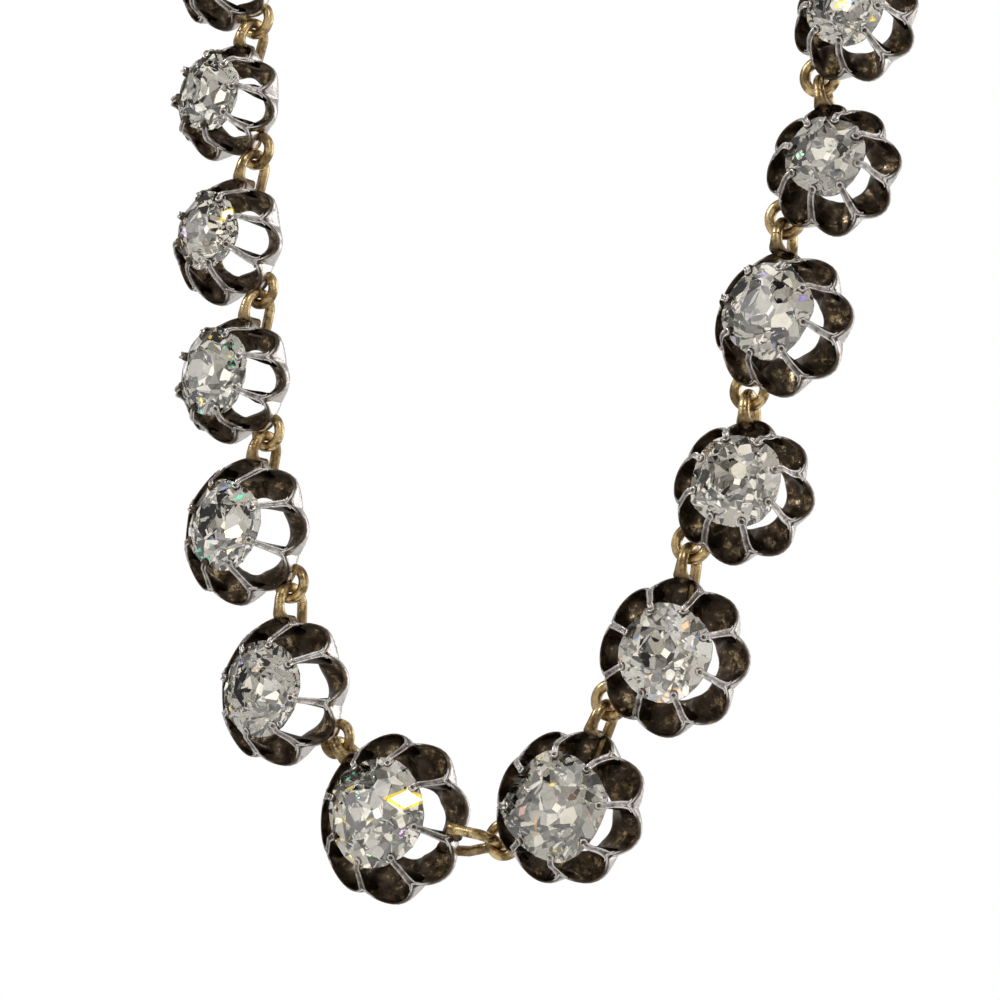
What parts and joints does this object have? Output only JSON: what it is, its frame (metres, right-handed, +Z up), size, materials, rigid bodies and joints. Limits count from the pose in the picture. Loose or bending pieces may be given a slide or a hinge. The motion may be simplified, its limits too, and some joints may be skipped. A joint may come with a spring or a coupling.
{
  "type": "riviere necklace",
  "caption": "Riviere necklace of graduated old mine cut stones in open cut down collets, linked by gold rings and bails and closed by a plain box clasp.",
  "frame": {"origin": "where the back of the necklace hangs: the inner edge at the top of its loop", "axes": "+Z up, the loop hangs in the XZ plane, the stones face -Y, +X to the viewer's right"},
  "size_m": [0.0816, 0.007, 0.1761],
  "materials": {
    "oxidised_silver": "silver, bright on its edges and outer walls and oxidised dark brown inside, with bronze glints",
    "gold_wire": "worn yellow gold wire, polished, with brown in its recesses",
    "diamond": "polished cut stone, white with grey and a faint warm tint, dark at the facets that turn away",
    "clasp_silver": "plain silver, softly worn"
  },
  "bodies": {
    "root": {"centre_setting": "oxidised_silver", "centre_stone": "diamond", "right_setting_1": "oxidised_silver", "right_setting_2": "oxidised_silver", "right_setting_3": "oxidised_silver", "right_setting_4": "oxidised_silver", "right_setting_5": "oxidised_silver", "right_setting_6": "oxidised_silver", "right_stone_1": "diamond", "right_stone_2": "diamond", "right_stone_3": "diamond", "right_stone_4": "diamond", "right_stone_5": "diamond", "right_stone_6": "diamond", "left_setting_1": "oxidised_silver", "left_setting_2": "oxidised_silver", "left_setting_3": "oxidised_silver", "left_setting_4": "oxidised_silver", "left_setting_5": "oxidised_silver", "left_setting_6": "oxidised_silver", "left_stone_1": "diamond", "left_stone_2": "diamond", "left_stone_3": "diamond", "left_stone_4": "diamond", "left_stone_5": "diamond", "left_stone_6": "diamond", "right_back_settings": "oxidised_silver", "right_back_stones": "diamond", "left_back_settings": "oxidised_silver", "left_back_stones": "diamond", "clasp": "clasp_silver"}
  },
  "joints": []
}
